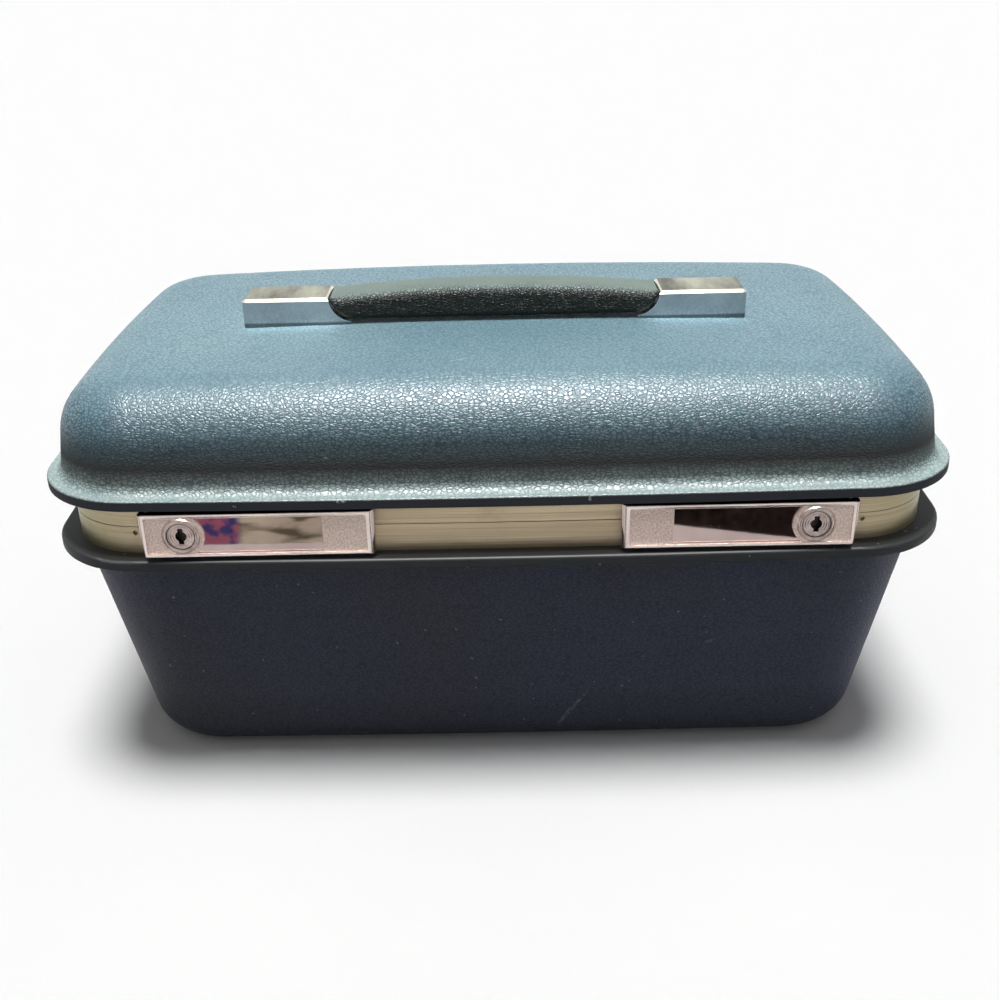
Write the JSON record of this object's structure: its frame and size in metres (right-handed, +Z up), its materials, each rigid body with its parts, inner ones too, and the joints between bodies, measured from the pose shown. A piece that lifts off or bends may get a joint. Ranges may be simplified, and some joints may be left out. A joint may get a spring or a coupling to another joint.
{
  "type": "cosmetic train case",
  "caption": "Hard-shell cosmetic train case with hinged domed lid, recessed metal band, two key-lock flip latches, lift-out tray and a low lifting handle.",
  "frame": {"origin": "centre of the base's underside, which is also the bottom centre of the bounding box", "axes": "+X right along the length, +Y towards the hinges at the back, +Z up; the latches face -Y"},
  "size_m": [0.343, 0.205, 0.1759],
  "materials": {
    "lid_plastic": "moulded, pebbled leather grain, slate blue",
    "base_plastic": "moulded, pebbled leather grain, very dark navy",
    "frame_metal": "champagne anodised, brushed lengthways",
    "chrome": "polished with satin panels",
    "lock_metal": "satin",
    "steel": "plated",
    "lining_cloth": "quilted cloth, muted blue",
    "tray_plastic": "moulded, pale blue",
    "mirror_glass": "silvered",
    "bezel_plastic": "moulded, pale blue",
    "grip_vinyl": "padded grained vinyl, dark green-black"
  },
  "bodies": {
    "base": {"base_shell": "base_plastic", "base_frame": "frame_metal", "base_lining": "lining_cloth", "base_hinge_rivets": "steel", "latch_rivets": "steel", "left_hinge_base_leaf": "steel", "left_hinge_pin": "steel", "left_latch_plate": "steel", "left_latch_pin": "steel", "left_latch_spring": "steel", "right_hinge_base_leaf": "steel", "right_hinge_pin": "steel", "right_latch_plate": "steel", "right_latch_pin": "steel", "right_latch_spring": "steel"},
    "lid": {"lid_shell": "lid_plastic", "lid_frame": "frame_metal", "lid_lining": "lining_cloth", "mirror_bezel": "bezel_plastic", "lid_mirror": "mirror_glass", "lid_hinge_rivets": "steel", "handle_link_pins": "steel", "handle_screws": "steel", "left_hinge_lid_leaf": "steel", "left_latch_keeper": "steel", "left_handle_cap": "chrome", "right_hinge_lid_leaf": "steel", "right_latch_keeper": "steel", "right_handle_cap": "chrome"},
    "tray": {"tray": "tray_plastic"},
    "grip": {"handle_grip": "grip_vinyl", "handle_core": "steel", "handle_core_pins": "steel"},
    "left_latch": {"left_latch_lever": "chrome", "left_latch_bolt": "steel", "left_lock_bezel": "chrome"},
    "left_lock": {"left_lock_cylinder": "lock_metal", "left_lock_cam": "lock_metal"},
    "left_link": {"left_handle_link": "steel"},
    "right_latch": {"right_latch_lever": "chrome", "right_latch_bolt": "steel", "right_lock_bezel": "chrome"},
    "right_lock": {"right_lock_cylinder": "lock_metal", "right_lock_cam": "lock_metal"},
    "right_link": {"right_handle_link": "steel"}
  },
  "joints": [
    {"name": "lid_hinge", "type": "hinge", "parent": "base", "child": "lid", "pos_m": [0, 0.09651, 0.10935], "axis": [-1, 0, 0], "range_deg": [0, 105]},
    {"name": "tray_lift", "type": "slide", "parent": "base", "child": "tray", "axis": [0, 0, 1], "range_m": [0, 0.025]},
    {"name": "handle_lift", "type": "slide", "parent": "lid", "child": "grip", "axis": [0, 0, 1], "range_m": [0, 0.015]},
    {"name": "left_latch_swing", "type": "hinge", "parent": "base", "child": "left_latch", "pos_m": [-0.1262, -0.0962, 0.10895], "axis": [0, 0, -1], "range_deg": [0, 70]},
    {"name": "left_lock_turn", "type": "hinge", "parent": "left_latch", "child": "left_lock", "pos_m": [-0.114, -0.099, 0.10895], "axis": [0, -1, 0], "range_deg": [0, 90]},
    {"name": "left_link_turn", "type": "hinge", "parent": "lid", "child": "left_link", "pos_m": [-0.0673, -0.0085, 0.1662], "axis": [0, -1, 0], "range_deg": [0, 28.3]},
    {"name": "right_latch_swing", "type": "hinge", "parent": "base", "child": "right_latch", "pos_m": [0.1262, -0.0962, 0.10895], "axis": [0, 0, 1], "range_deg": [0, 70]},
    {"name": "right_lock_turn", "type": "hinge", "parent": "right_latch", "child": "right_lock", "pos_m": [0.114, -0.099, 0.10895], "axis": [0, 1, 0], "range_deg": [0, 90]},
    {"name": "right_link_turn", "type": "hinge", "parent": "lid", "child": "right_link", "pos_m": [0.0673, -0.0085, 0.1662], "axis": [0, 1, 0], "range_deg": [0, 28.3]}
  ],
  "couplings": [
    {"joint": "left_link_turn", "follows": "handle_lift", "rad_per_m": 32.787},
    {"joint": "right_link_turn", "follows": "handle_lift", "rad_per_m": 32.787}
  ]
}
